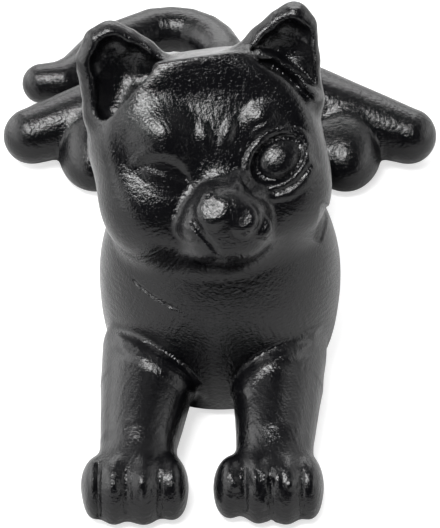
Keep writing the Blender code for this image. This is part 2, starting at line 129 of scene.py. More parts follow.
# Both forelegs: middle across and width at the shoulder, middle at the elbow, wrist and paw, and the toes.
# Each toe: middle across, half width, how far back it starts, height.
FORELEGS = (
    (-19.8, 27.4, -20.8, -22.8, -24.0,
     ((-34.6, 3.6, 2.8, 15.5), (-29.2, 4.6, 0.9, 17.0), (-21.0, 5.1, 0.9, 17.2), (-13.3, 4.4, 2.6, 16.0))),
    (17.2, 26.4, 16.6, 15.4, 13.6,
     ((2.9, 4.6, 3.2, 16.0), (10.5, 4.3, 1.4, 17.2), (18.3, 4.8, 0.9, 16.8), (24.7, 3.8, 2.8, 15.6))),
)
WRIST_WIDTH = 21.8
HAND_WIDTH = 20.6
PAW_RADII = (13.8, 10, 9.6)
TOE_STATION = 8.3
TOE_MIDDLE = 6.7


def forelegs(p):
    """A limb from the shoulder to the wrist that flares into the chest, a paw, and four toes abreast."""
    legs = None
    for shoulder_x, width, elbow_x, wrist_x, paw_x, toes in FORELEGS:
        shoulder = at(shoulder_x, 62, 13.6)
        elbow = at(elbow_x, 48, 12.4)
        wrist = at(wrist_x, 26, 10.6)
        hand = at(wrist_x, 14, 6.8)
        leg = limb(p, [shoulder, elbow, wrist, hand], [width + 1, width - 0.6, WRIST_WIDTH, HAND_WIDTH])
        leg = blend(leg, oval(p, at(paw_x, 14, 7.2), PAW_RADII), 4)
        for x, half, back, height in toes:
            toe = oval(p, at(x, TOE_STATION + back, TOE_MIDDLE), (half, 8, height - 6.2))
            leg = blend(leg, toe, 3.2)
        legs = leg if legs is None else np.minimum(legs, leg)
    return legs


def hind_legs(p):
    """The thigh lies outwards to the knee; the paw lies forwards below it, with a sharp crease between."""
    legs = None
    for side in (-1, 1):
        hip = at(side * 23, 182, 15)
        knee = at(side * 60, 169, 9.7)
        thigh = limb(p, [hip, knee], [26, 18])
        paw = oval(p, at(side * 39.5, 169, 7), (12.5, 21, 13))
        leg = blend(thigh, paw, 2)
        legs = leg if legs is None else np.minimum(legs, leg)
    return legs


# The tail is round and lies at one height. Its turn is part of an oval (middle and radii, across and back),
# and behind it the middle line runs forwards to the tip.
TAIL_TURN = (-16.5, 212.5)
TAIL_RADII = (17.25, 18.2)
TAIL_DEGREES = (0, 15, 32, 50, 70, 90, 110, 130)
TAIL_END = ((-38, 219.5), (-47, 204), (-51.5, 200.3), (-58.3, 200))
TAIL_HEIGHT = 7.6
TAIL_WIDTH = 15.2


def tail(p):
    """Back out of the rump, half round an oval to the cat's right, and forwards to the tip."""
    points = [at(0, 180.5, 12)]
    for degrees in TAIL_DEGREES:
        turned = math.radians(degrees)
        across = TAIL_TURN[0] + TAIL_RADII[0] * math.cos(turned)
        station = TAIL_TURN[1] + TAIL_RADII[1] * math.sin(turned)
        points.append(at(across, station, TAIL_HEIGHT))
    points += [at(across, station, TAIL_HEIGHT) for across, station in TAIL_END]
    return limb(p, points, [16.5, *[TAIL_WIDTH] * (len(points) - 3), 14.6, 13])


def turned_axes(lean, tip, turn):
    """Right, back and up as columns after a lean about y, then a tip about x, then a turn about z."""
    angles = np.radians((lean, tip, turn))
    cl, ct, cu = np.cos(angles)
    sl, st, su = np.sin(angles)
    about_y = np.array(((cl, 0, sl), (0, 1, 0), (-sl, 0, cl)))
    about_x = np.array(((1, 0, 0), (0, ct, -st), (0, st, ct)))
    about_z = np.array(((cu, -su, 0), (su, cu, 0), (0, 0, 1)))
    return about_z @ about_x @ about_y


# The head looks 30 degrees up. As seen from the front it leans a little to the left and is turned a little
# to the right.
HEAD_CENTRE = at(-2.5, 77, 72)
HEAD_AXES = turned_axes(-4.5, -30, 5)


def in_head(right, forward, up):
    """A point given by how far right, forward and up of the middle of the head it lies."""
    return HEAD_CENTRE + HEAD_AXES @ np.array((right, -forward, up))


def neck(p, inset=0.0):
    """A wide oval in the chest and a limb from it into the head, smaller by the inset all round."""
    root = at(0, 78, 36)
    wide = oval(p, root, (33.5 - inset, 28 - inset, 33.5 - inset))
    width = 50 - 2 * inset
    throat = limb(p, [root, in_head(0, -9, 0)], [width, width])
    return blend(wide, throat, 10)


def beyond_plane(p, forward, up, tilt):
    """Distance above a plane across the head that passes a point and faces so many degrees above forward."""
    normal = HEAD_AXES @ np.array((0, -math.cos(math.radians(tilt)), math.sin(math.radians(tilt))))
    return (normal.reshape(3, 1) * (p - in_head(0, forward, up).reshape(3, 1))).sum(0)


# The edge between the flat forehead and the flat crown (forward and up), and how far above forward they face.
CROWN_EDGE = (10.5, 30.3)
FOREHEAD_TILT = 5
CROWN_TILT = 92
# Ovals of the head: middle (right, forward and up), radii, and the fillet to what is there already.
DOMES = (
    ((-16, -3, 7), (17.8, 20, 17), 3),
    ((-1, -1, 20), (22, 17, 16), 3),
)
BROW = ((15, 4, 8), (11, 8.5, 10), 3)
CHEEK = ((16.5, 2.6, -11), (15.5, 14.2, 15.5), 7)
MUZZLE = ((1, 15, -14), (13, 12.5, 9.5), 2.5)
CHIN = ((1, 15, -21.5), (11, 10, 6), 6)
# The nose: three knobs abreast, pressed flat on the front (right, forward, up and radius).
NOSE_KNOBS = ((-2.5, 23.8, -10.9, 4.7), (5.4, 24.6, -14, 4.2), (9.8, 22.4, -17, 3.5))
KNOB_FACING = np.array((-0.12, -0.59, 0.8))
KNOB_FLAT = 0.6  # how far out the flat lies, as a share of the radius


def add_oval(whole, p, middle, radii, fillet):
    """Blends an oval that stands square in the head into what is there already."""
    return blend(whole, oval(p, in_head(*middle), radii, HEAD_AXES), fillet)


def skull(p):
    """Skull with a flat forehead and a flat crown, brows, cheeks, muzzle, bridge of the nose and chin."""
    whole = oval(p, in_head(0, -2, 2), (32.4, 28, 32), HEAD_AXES)
    for dome in DOMES:
        whole = add_oval(whole, p, *dome)
    whole = carve(whole, -beyond_plane(p, *CROWN_EDGE, FOREHEAD_TILT), 3)
    whole = carve(whole, -beyond_plane(p, *CROWN_EDGE, CROWN_TILT), 1)
    for side in (-1, 1):
        for (right, forward, up), radii, fillet in (BROW, CHEEK):
            whole = add_oval(whole, p, (side * right, forward, up), radii, fillet)
    whole = add_oval(whole, p, *MUZZLE)
    bridge = limb(p, [in_head(1, 8, -5.5), in_head(2, 20, -11)], [12, 12])
    whole = blend(whole, bridge, 3)
    whole = add_oval(whole, p, *CHIN)
    for right, forward, up, radius in NOSE_KNOBS:
        middle = in_head(right, forward, up)
        knob = oval(p, middle, (radius, radius, radius))
        flat = KNOB_FLAT * radius - (KNOB_FACING.reshape(3, 1) * (p - middle.reshape(3, 1))).sum(0)
        whole = blend(whole, carve(knob, flat, 1.2), 1.6)
    return whole


# Each ear, right and up from the middle of the head: its rim, from the outer root over the tip to the inner
# root, and the edge of the hollow in its front.
EARS = (
    (((-29.3, 17), (-29.6, 31.4), (-27.2, 36.7), (-23.7, 37.7), (-19.5, 35.5), (-15.3, 31.5), (-11, 26)),
     ((-25.6, 19), (-25.7, 30.9), (-23.6, 33.6), (-18.4, 30.6), (-13.9, 26.6), (-21.1, 25.3))),
    (((29, 13.6), (29.2, 24.3), (29.8, 33.8), (27.8, 36.3), (24, 35.1), (18.2, 30.8), (13, 25.8)),
     ((26.8, 19.8), (27.2, 25), (27.6, 30.4), (25.8, 31.8), (21.6, 29.3), (17.4, 25.8))),
)
EAR_THICKNESS = 8.6
WEB_THICKNESS = EAR_THICKNESS - 0.4
BASIN_FORWARD = 4.2
BASIN_WIDTH = 12
BASIN_EDGE_WIDTH = 7


def ear(p, rim):
    """A thick leaf: a round rim, with a web across it from the middle."""
    points = [in_head(right, 0, up) for right, up in rim]
    middle = sum(points) / len(points)
    web = [points[0], middle, points[1], middle, points[3], middle, points[5]]
    return blend(
        limb(p, points, [EAR_THICKNESS] * len(points)),
        limb(p, web, [WEB_THICKNESS] * len(web)),
        2,
    )


def ear_hollow(p, edge):
    """The space in the front of an ear: from its middle out to each point of its edge, as one basin."""
    points = [in_head(right, BASIN_FORWARD, up) for right, up in edge]
    middle = sum(points) / len(points)
    spokes = [middle]
    widths = [BASIN_WIDTH]
    for point in points:
        spokes += [point, middle]
        widths += [BASIN_EDGE_WIDTH, BASIN_WIDTH]
    ring = [*points, points[0]]
    return blend(limb(p, spokes, widths), limb(p, ring, [BASIN_EDGE_WIDTH] * len(ring)), 4)


def front_half(p):
    """Trunk, neck, forelegs and head with its ears, blended into each other."""
    whole = blend(trunk(p), neck(p), 7)
    whole = blend(whole, forelegs(p), 1.4)
    whole = blend(whole, skull(p), 5)
    for rim, edge in EARS:
        whole = blend(whole, ear(p, rim), 4)
        whole = carve(whole, ear_hollow(p, edge), 2)
    return whole


def whole_cat(p):
    """The outside of both castings together, with the hind legs and the tail."""
    return blend(blend(front_half(p), hind_legs(p), 8), tail(p), 6)


SEAT_CENTRE = at(0, 78, 50)
SEAT_AXES = turned_axes(0, 20, 0)


def seat_heights(p):
    """Across, back and up, measured from the middle of the inclined seat."""
    return SEAT_AXES.T @ (p - SEAT_CENTRE.reshape(3, 1))


def oval_drum(p, across, back):
    """Distance to an endless oval drum square to the seat."""
    local = seat_heights(p)
    share = np.sqrt((local[0] / across) ** 2 + (local[1] / back) ** 2) + 1e-6
    return (share - 1) * min(across, back)


WALL = 5.5
DECK = 7.0  # the iron under the seat
SOCKET_RADII = (10.3, 7.3)
# Where the hollow opens at the floor: station, half across, half along, and the height it goes up to.
MOUTHS = (
    (79, 25.3, 24.8, 20),
    (118.5, 17.9, 45.3, 20),
    (160, 17.8, 20.2, 15),
)


def hollow(p):
    """Trunk and neck one wall inside their skin, open straight down, flat under the deck, and the socket."""
    space = blend(trunk(p, WALL), neck(p, WALL), 10)
    for station, across, along, girth in MOUTHS:
        local = p - at(0, station, 0).reshape(3, 1)
        share = np.sqrt((local[0] / across) ** 2 + (local[1] / along) ** 2) + 1e-6
        mouth = np.maximum((share - 1) * across, p[2] - girth)
        space = blend(space, mouth, 3)
    space = carve(space, -DECK - seat_heights(p)[2], 2)
    return blend(space, oval_drum(p, *SOCKET_RADII), 0.6)


BASE = 1.9  # the iron ends this high above the floor, on its pads


def body_masses(p):
    """The whole cat, cut flat at the base and hollow inside."""
    whole = carve(whole_cat(p), p[2] - BASE, 1.6)
    return carve(whole, hollow(p), 1.6)


# The face of a sand mould is never quite even: it leaves faint lumps on the iron.
RANDOM_SIZE = 32
RANDOM = np.random.default_rng(7).random((RANDOM_SIZE,) * 3).astype(np.float32)
LUMP_SIZE = 6.1
LUMP_HEIGHT = 0.08


def lumps(p, size):
    """Random hills from -1 to 1: random values at the corners of cubes of that size, eased between them."""
    scaled = p / size
    low = np.floor(scaled)
    share = ease(scaled - low)
    low = low.astype(np.int32)
    total = 0
    for corner in np.ndindex(2, 2, 2):
        weight = 1
        for axis, side in enumerate(corner):
            weight = weight * (share[axis] if side else 1 - share[axis])
        place = [(low[axis] + side) % RANDOM_SIZE for axis, side in enumerate(corner)]
        total = total + weight * RANDOM[tuple(place)]
    return 2 * total - 1


# The carving was measured as it is seen from the front: by somebody 0.8 m away who looks 40 degrees down.
EYE = np.array((0, -680.8, 569.2))
EYE_DISTANCE = 800
LOOKS_DOWN = math.radians(40)
LOOKS = np.array((0, math.cos(LOOKS_DOWN), -math.sin(LOOKS_DOWN)))
SEEN_UP = np.array((0, -LOOKS[2], LOOKS[1]))


def seen(p):
    """How far right and up a point appears from the middle of that view, in millimetres at 0.8 m."""
    offset = p - EYE.reshape(3, 1)
    depth = (offset * LOOKS.reshape(3, 1)).sum(0)
    return EYE_DISTANCE * offset[0] / depth, EYE_DISTANCE * (offset * SEEN_UP.reshape(3, 1)).sum(0) / depth


def from_middle(a, b, middle, angle):
    """How far a place seen at (a, b) lies along and across a line through a middle at that angle."""
    c, s = math.cos(angle), math.sin(angle)
    along = (a - middle[0]) * c + (b - middle[1]) * s
    across = (b - middle[1]) * c - (a - middle[0]) * s
    return along, across


def hill(a, b, middle, radii, turn):
    """Oval hill of height 1: the square of one less the squared share of the way to its foot."""
    along, across = from_middle(a, b, middle, math.radians(turn))
    u = along / radii[0]
    v = across / radii[1]
    return np.clip(1 - u * u - v * v, 0, None) ** 2


def from_line(a, b, start, end):
    """Offset of a place seen at (a, b) from the nearest place on a straight line between two ends."""
    da, db = end[0] - start[0], end[1] - start[1]
    share = np.clip(((a - start[0]) * da + (b - start[1]) * db) / (da * da + db * db), 0, 1)
    return a - start[0] - da * share, b - start[1] - db * share


def stroke(a, b, points, width):
    """Ridge of height 1 along a bent line, that fades to nothing at the width on both sides."""
    nearest = None
    for start, end in zip(points, points[1:]):
        off_a, off_b = from_line(a, b, start, end)
        gap = off_a**2 + off_b**2
        nearest = gap if nearest is None else np.minimum(nearest, gap)
    return np.clip(1 - nearest / width**2, 0, None) ** 2


LEDGE_END = 3  # a ledge fades out over this length at both of its ends


def ledge(a, b, points, width, reach):
    """Step of height 1 on the right-hand side of a bent line.

    It rises over the width, runs out again up to the reach and fades to nothing at both ends of the line.
    """
    nearest, beside = None, None
    for start, end in zip(points, points[1:]):
        off_a, off_b = from_line(a, b, start, end)
        gap = np.hypot(off_a, off_b)
        signed = gap * np.sign(off_a * (end[1] - start[1]) - off_b * (end[0] - start[0]))
        beside = signed if beside is None else np.where(gap < nearest, signed, beside)
        nearest = gap if nearest is None else np.minimum(nearest, gap)
    ends = [np.hypot(a - end[0], b - end[1]) for end in (points[0], points[-1])]
    fade = ease((np.minimum(ends[0], ends[1]) - nearest) / LEDGE_END) * (nearest < reach)
    return ease(beside / width + 0.5) * ease((reach - nearest) / (reach - width)) * fade


# Hills of the face: where they are seen, half lengths, turn and height.
FACE_HILLS = (
    ((-16.6, 35.2), (13, 14), 30, 3.8),
    ((11.6, 40.6), (6.5, 6), 10, 1.3),
    ((-4.2, 35.3), (2.8, 6.2), 12, 0.8),
    ((2.2, 36.6), (2.5, 5.6), -18, 0.8),
    ((5.4, 23.6), (3.4, 3.8), 0, 1.2),
    ((-3.6, 20.4), (4.8, 2.8), 25, 1.0),
    ((-9.4, 9.4), (6.2, 3.6), -35, 1.3),
)
# Furrows and ridges of the face: where they are seen, half width and height.
FACE_STROKES = (
    (((-7.0, 11.5), (-5.0, 8.4), (-2.4, 5.6), (-0.9, 3.6)), 1.5, -0.5),
    (((10.5, 36.2), (13.9, 37.8), (17.5, 38.2)), 2.6, 0.6),
    (((23.6, 31.5), (26.0, 27.2), (24.0, 22.9), (19.4, 19.4), (15.2, 18.4), (10.6, 20.4)), 2.0, 0.6),
    (((-23.5, 28.2), (-20.6, 31.0), (-15.5, 31.2), (-10.5, 29.0), (-6.8, 25.5)), 2.4, 0.2),
)
# The ridge along the lower edge of the hollow of the cat's left ear.
EAR_RIDGE = ((11, 58.5), (15.5, 57.2), (21.7, 52.2), (26.6, 46.9))
# The eyes: where their middles are seen, and the angle of the line through their corners, in radians.
RIGHT_EYE = (-15.6, 24.2)
RIGHT_EYE_ANGLE = -0.31
LEFT_EYE = (16.0, 29.0)
LEFT_EYE_ANGLE = 0.68


def right_eye(a, b):
    """The cat's right eye: a shallow almond that sinks under its upper lid and swells in its middle."""
    along, across = from_middle(a, b, RIGHT_EYE, RIGHT_EYE_ANGLE)
    almond = np.abs(across) / 5.6 + (along / 8.6) ** 2
    lid = 0.3 + 0.7 * ease(across / 4 + 0.5)
    return np.clip(1 - almond, 0, None) - 0.8 * lid * ease((1.15 - almond) / 0.5)


def left_eye(a, b):
    """The cat's left eye: a socket with a raised rim, and a ball that leaves a gap on the nose's side."""
    along, across = from_middle(a, b, LEFT_EYE, LEFT_EYE_ANGLE)
    way = np.sqrt((along / 8.3) ** 2 + (across / 5.9) ** 2)
    socket = 1.9 * ease((1.06 - way) / 0.24)
    rim = 0.6 * np.clip(1 - ((way - 1.16) / 0.2) ** 2, 0, None)
    ball = 1 - ((along - 1.1) / 6.9) ** 2 - (across / 5.3) ** 2
    return rim - socket + 2.8 * np.sqrt(np.clip(ball, 0, None))


def face_relief(p):
    """Height of the carving of the face above its masses, none behind the middle of the head."""
    a, b = seen(p)
    height = np.zeros_like(a)
    for middle, radii, turn, rise in FACE_HILLS:
        height += rise * hill(a, b, middle, radii, turn)
    for points, width, rise in FACE_STROKES:
        height += rise * stroke(a, b, points, width)
    height += right_eye(a, b) + left_eye(a, b)
    back = (HEAD_AXES.T @ (p - HEAD_CENTRE.reshape(3, 1)))[1]
    height *= ease((2 - back) / 8)
    return height + 1.8 * stroke(a, b, EAR_RIDGE, 2.2) * (back < 5)


# Lines between the toes, as they are seen: ends, half width and depth.
TOE_LINES = (
    (((-33.7, -56.0), (-34.1, -62), (-33.7, -69.5)), 1.4, 0.5),
    (((-26.1, -58.2), (-26.2, -68.4)), 1.2, 0.3),
    (((-17.2, -57.9), (-16.6, -62), (-16.9, -69.5)), 1.2, 0.35),
    (((6.9, -57.3), (7.1, -68)), 1.2, 0.3),
    (((14.0, -60.0), (14.3, -71.5)), 1.2, 0.35),
    (((22.6, -58.0), (22.9, -69)), 1.2, 0.3),
)
# Knuckles and other small hills of the front paws: where they are seen, half lengths, turn and height.
KNUCKLES = (
    ((-29.8, -62.0), (2.6, 3.4), 0, 0.5),
    ((-21.8, -61.0), (3.0, 4.0), 0, 0.5),
    ((-21.0, -64.5), (1.6, 3.2), -12, 0.4),
    ((4.1, -61.3), (2.3, 2.6), 0, 0.7),
    ((9.6, -59.6), (1.6, 3.2), 10, 0.6),
    ((12.4, -59.4), (1.4, 3.4), 0, 0.6),
    ((15.9, -59.5), (1.6, 4.2), 8, 0.6),
    ((19.8, -61.3), (2.0, 2.2), 0, 0.6),
    ((12.2, -66.5), (1.6, 2.4), 0, 0.4),
)
PAW_END = 30  # the carving of the paws ends at this station


def paw_relief(p):
    """Lines and knuckles of the front paws."""
    a, b = seen(p)
    height = np.zeros_like(a)
    for middle, radii, turn, rise in KNUCKLES:
        height += rise * hill(a, b, middle, radii, turn)
    for points, width, depth in TOE_LINES:
        height -= depth * stroke(a, b, points, width)
    return height * (p[1] < PAW_END - LENGTH / 2)


# Upper edges of the forelegs on the chest, and the crease at the side of the neck, as they are seen.
LEG_EDGES = (
    ((-30, -18.5), (-22.2, -22.6), (-16.7, -25.1), (-9.7, -29), (-5.4, -33.6), (-3.4, -39)),
    ((3.0, -39), (4.2, -33.6), (6.9, -29), (9.7, -26.2), (15.3, -23.4), (22.2, -20.4), (29, -16.6)),
)
EDGE_WIDTH = 2.4
EDGE_REACH = 6
NECK_CREASE = ((29.1, 15.5), (28.4, 11), (27.2, 6.7))
CREASE_DEPTH = 0.7
CREASE_WIDTH = 1.6
CREASE_BACK = -36  # the crease fades out before this y
CHEST_BACK = -50  # the leg edges and the parting are carved in front of this y
# The parting between the two castings stands open on one side of the throat, from x to x.
PARTING_FROM = -25.5
PARTING_TO = -8
PARTING_DEPTH = 0.45
PARTING_WIDTH = 1.2


def with_carving(p, distance):
    """The masses with the carving and the lumps of the sand mould on them."""
    height = face_relief(p) + paw_relief(p)
    a, b = seen(p)
    in_front = p[1] < CHEST_BACK
    for points in LEG_EDGES:
        height += ledge(a, b, points, EDGE_WIDTH, EDGE_REACH) * in_front
    crease = stroke(a, b, NECK_CREASE, CREASE_WIDTH) * ease((CREASE_BACK - p[1]) / 6)
    height -= CREASE_DEPTH * crease
    open_here = ease((p[0] - PARTING_FROM) / 1.5) * ease((PARTING_TO - p[0]) / 7) * in_front
    above_seat = seat_heights(p)[2]
    parting = (above_seat > 0) * np.clip(1 - above_seat / PARTING_WIDTH, 0, None)
    height -= PARTING_DEPTH * open_here * parting
    height += LUMP_HEIGHT * lumps(p, LUMP_SIZE)
    return distance - height


def field_and_slope(field, p):
    """The field at points and its slope there: the difference of its values a little to both sides."""
    reach = 0.04
    slope = []
    for axis in range(3):
        step = np.zeros((3, 1))
        step[axis] = reach
        slope.append((field(p + step) - field(p - step)) / (2 * reach))
    return field(p), np.stack(slope)


CARVING_REACH = 3.0  # the carving is worked out this near to the skin
ROUNDS = 4
EVENED_ROUNDS = (1, 2)
LEAST_SLOPE = 0.25
LONGEST_STEP = 0.3


def skin_of(masses, detail, xs, ys, zs):
    """Corners and quads of the skin where a field of distances is zero.

    Every lattice cell that the skin passes through gets one corner, at the mean of the places where its
    edges cross zero. Every lattice edge that crosses zero gets a quad between the four cells round it. Then
    the corners are drawn onto the zero along the slope of the field, and twice to the mean of the quads
    round them.
    """
    rows = [np.asarray(row, np.float32) for row in (xs, ys, zs)]
    count = np.array([len(row) for row in rows])
    grid = np.stack(np.meshgrid(*rows, indexing="ij")).reshape(3, -1)
    value = masses(grid)
    near = np.abs(value) < CARVING_REACH
    value[near] = detail(grid[:, near], value[near])
    value = value.reshape(count)
    del grid
    cells = count - 1
    stride = np.array((cells[1] * cells[2], cells[2], 1))
    cell_ids = []
    crossings = []
    quads = []
    for axis in range(3):
        across, up = (axis + 1) % 3, (axis + 2) % 3
        low = np.take(value, np.arange(cells[axis]), axis)
        high = np.take(value, np.arange(1, count[axis]), axis)
        place = np.array(np.nonzero((low < 0) != (high < 0)))
        inside = [(place[a] > 0) & (place[a] < cells[a]) for a in (across, up)]
        place = place[:, inside[0] & inside[1]]
        near, far = low[tuple(place)], high[tuple(place)]
        crossing = np.stack([row[i] for row, i in zip(rows, place)]).astype(float)
        crossing[axis] += (rows[axis][place[axis] + 1] - rows[axis][place[axis]]) * near / (near - far)
        corners = []
        for step_across, step_up in ((1, 1), (0, 1), (0, 0), (1, 0)):
            cell = place.copy()
            cell[across] -= step_across
            cell[up] -= step_up
            corners.append(stride @ cell)
            crossings.append(crossing)
        cell_ids += corners
        quad = np.stack(corners, axis=1)
        quads.append(np.where((near < 0)[:, None], quad, quad[:, ::-1]))
    used, index = np.unique(np.concatenate(cell_ids), return_inverse=True)
    crossings = np.concatenate(crossings, axis=1)
    corners = np.stack([np.bincount(index, weights=row) for row in crossings]) / np.bincount(index)
    quads = np.searchsorted(used, np.concatenate(quads))
    ends = quads.ravel()
    around = np.bincount(ends)
    for round_number in range(ROUNDS):
        if round_number in EVENED_ROUNDS:
            middles = corners[:, quads].mean(2)
            corners = np.stack([np.bincount(ends, weights=np.repeat(row, 4)) for row in middles]) / around
        here, slope = field_and_slope(lambda p: detail(p, masses(p)), corners)
        step = here / np.clip((slope**2).sum(0), LEAST_SLOPE, None)
        corners = corners - slope * np.clip(step, -LONGEST_STEP, LONGEST_STEP)
    return corners, quads


def ticks(*runs):
    """Lattice places: runs of (from, to, step), each joined to the next."""
    return np.concatenate([*[np.arange(low, high, step) for low, high, step in runs], [runs[-1][1]]])


def cut_at_seat(corners, quads, height, keep_above):
    """The skin with everything on one side of the seat's plane cut off, and the edges of the cut."""
    mesh = bpy.data.meshes.new("uncut")
    mesh.from_pydata((corners.T * 0.001).astype(np.float32), [], quads)
    made = bmesh.new()
    made.from_mesh(mesh)
    bpy.data.meshes.remove(mesh)
    plane = Vector((SEAT_CENTRE + SEAT_AXES @ np.array((0, 0, height))) * 0.001)
    geometry = made.verts[:] + made.edges[:] + made.faces[:]
    cut = bmesh.ops.bisect_plane(
        made, geom=geometry, dist=1e-7, plane_co=plane, plane_no=Vector(SEAT_AXES[:, 2]),
        clear_inner=keep_above, clear_outer=not keep_above,
    )
    return made, [part for part in cut["geom_cut"] if isinstance(part, bmesh.types.BMEdge)]


def places_of(mesh):
    """The places of a mesh's corners as they are kept in it, one column each."""
    places = np.empty(len(mesh.vertices) * 3, np.float32)
    mesh.vertices.foreach_get("co", places)
    return places.reshape(-1, 3).T


def finished_piece(name, made, material):
    """A piece from a bmesh, kept inside the box of the CAD, with its material."""
    mesh = bpy.data.meshes.new(name)
    made.to_mesh(mesh)
    made.free()
    places = np.clip(places_of(mesh).T, np.array(cad_box[0]), np.array(cad_box[1]))
    mesh.vertices.foreach_set("co", places.ravel())
    mesh.materials.append(material)
    piece = bpy.data.objects.new(name, mesh)
    bpy.context.scene.collection.objects.link(piece)
    return piece


def linear(code):
    """A colour's linear values from its sRGB hex code."""
    values = [int(code[i:i + 2], 16) / 255 for i in (1, 3, 5)]
    return (*[v / 12.92 if v <= 0.04045 else ((v + 0.055) / 1.055) ** 2.4 for v in values], 1)


def add_node(tree, kind, links=(), **settings):
    """Adds a node with its settings; links gives each socket a value or the socket that feeds it."""
    made = tree.nodes.new(kind)
    for name, value in settings.items():
        setattr(made, name, value)
    for name, value in dict(links).items():
        if isinstance(value, bpy.types.NodeSocket):
            tree.links.new(value, made.inputs[name])
        else:
            made.inputs[name].default_value = value
    return made


def new_material(name, sockets):
    """A material, its tree and its shader, whose sockets get the values given by name."""
    material = bpy.data.materials.new(name)
    material.use_nodes = True
    shader = material.node_tree.nodes["Principled BSDF"]
    for socket, value in sockets.items():
        shader.inputs[socket].default_value = value
    return material, material.node_tree, shader


def scale_of(size):
    """Scale of a pattern whose marks are that many millimetres wide."""
    return 1000 / size


# Black enamel, sprayed over the bare casting. It gives the eye small bright lights on a deep black, broken up
# by what lies under it. The mould's sand leaves grains of about 0.2 mm, too fine to show, so they are drawn
# eleven to 5 mm. The strokes of the carved hair are about a millimetre wide, nine to 10 mm. The enamel flows
# out more or less smoothly in patches of some 6 mm.
SAND_GRAIN = 5 / 11
STROKE_WIDTH = 10 / 9
STROKE_SHIFT = 0.0011  # metres
PATCH_WIDTH = 6.25
enamel, tree, shader = new_material(
    "black_enamel", {"Base Color": linear("#09090b"), "Specular IOR Level": 0.42}
)
place = add_node(tree, "ShaderNodeTexCoord").outputs["Object"]
grain = add_node(tree, "ShaderNodeTexNoise", {"Vector": place, "Scale": scale_of(SAND_GRAIN), "Detail": 2.0})
sand = add_node(tree, "ShaderNodeMapRange", {"Value": grain.outputs[0], "From Min": 0.4, "From Max": 0.8})
patches = add_node(
    tree, "ShaderNodeTexNoise", {"Vector": place, "Scale": scale_of(PATCH_WIDTH), "Detail": 3.0}
)
# The sum of one noise at places a stroke's width apart along the hair is drawn out along it, as a stroke is.
flow = add_node(tree, "ShaderNodeAttribute", attribute_name="hair").outputs["Vector"]
hairs = None
for step in range(4):
    along = add_node(
        tree, "ShaderNodeVectorMath", {0: flow, 1: (STROKE_SHIFT * step,) * 3, 2: place},
        operation="MULTIPLY_ADD",
    )
    strand = add_node(
        tree, "ShaderNodeTexNoise",
        {"Vector": along.outputs[0], "Scale": scale_of(STROKE_WIDTH), "Detail": 0.0},
    ).outputs[0]
    hairs = strand if hairs is None else add_node(tree, "ShaderNodeMath", {0: hairs, 1: strand}).outputs[0]
rough = add_node(
    tree, "ShaderNodeMapRange",
    {"Value": patches.outputs[0], "From Min": 0.3, "From Max": 0.7, "To Min": 0.09, "To Max": 0.22},
)
tree.links.new(rough.outputs[0], shader.inputs["Roughness"])
strands = add_node(tree, "ShaderNodeBump", {"Height": hairs, "Distance": 0.00006, "Strength": 1.0})
grains = add_node(
    tree, "ShaderNodeBump",
    {"Height": sand.outputs[0], "Distance": 0.000055, "Strength": 1.0, "Normal": strands.outputs[0]},
)
tree.links.new(grains.outputs[0], shader.inputs["Normal"])

HAIR_CENTRE = at(1.6, 44.3, 79.4)
CHEST_END = 62
LEGS_END = 46


def hair_directions(p, from_nose):
    """Which way the carved hair lies at points.

    On the head it lies away from the nose. On the body it lies backwards, on the chest down, and on the
    forelegs backwards and inwards.
    """
    if from_nose:
        way = p - HAIR_CENTRE.reshape(3, 1)
    else:
        side = np.sign(p[0])
        station = p[1] + LENGTH / 2
        chest = ease((CHEST_END - station) / 8) * ease((p[2] - 22) / 6)
        front = ease((LEGS_END - station) / 8) * (1 - chest)
        way = np.stack((
            0.25 * side - 0.75 * side * front, 1 - 0.9 * chest, -0.3 - 0.6 * chest + 0.5 * front,
        ))
    return way / np.sqrt((way**2).sum(0))


def lay_hair(piece, from_nose):
    """Gives every corner of a piece the direction of the hair there, which the enamel's pattern follows."""
    ways = hair_directions(places_of(piece.data) * 1000.0, from_nose)
    hair = piece.data.attributes.new("hair", "FLOAT_VECTOR", "POINT")
    hair.data.foreach_set("vector", ways.T.astype(np.float32).ravel())


# The lattice is finest in the middle of the width and at the front of the paws, where the carving is.
corners, quads = skin_of(
    body_masses, with_carving,
    ticks((-71, -42, 1.15), (-42, 42, 0.62), (42, 71, 1.15)),
    ticks((-121, -96, 0.5), (-96, -40, 0.9), (-40, 121, 1.4)),
    ticks((0.5, 66, 0.66)),
)
made, rim = cut_at_seat(corners, quads, 0, keep_above=False)
bmesh.ops.triangle_fill(made, edges=rim, use_beauty=True, normal=Vector(SEAT_AXES[:, 2]))
for edge in rim:
    edge.smooth = False
body = finished_piece("body_skin", made, enamel)
lay_hair(body, from_nose=False)
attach(body, "root")
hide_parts("body_casting")

# The skin of the hollow, which shows only from below, does with fewer faces.
NEAR_HOLLOW = 0.8
FACES_KEPT = 0.72
places = places_of(body.data).astype(float) * 1000.0
inner_skin = body.vertex_groups.new(name="inner_skin")
inner_skin.add(np.nonzero(np.abs(hollow(places)) < NEAR_HOLLOW)[0].tolist(), 1.0, "REPLACE")
thinned = body.modifiers.new("fewer_faces_inside", "DECIMATE")
thinned.vertex_group = "inner_skin"
thinned.ratio = FACES_KEPT

# Head casting
# Grey iron again, cast by itself, because the chin and the ears wouldn't draw from the body's mould.
# It stands on the inclined seat, with an oval spigot and a tapped hole below, under the same black enamel.
SEAT_GAP = 0.02  # the two skins stand this far apart at the seat
corners, quads = skin_of(
    front_half, with_carving,
    ticks((-40, 36, 0.55)),
    ticks((-84, 4, 0.55)),
    ticks((30, 113, 0.55)),
)
made, rim = cut_at_seat(corners, quads, SEAT_GAP, keep_above=True)

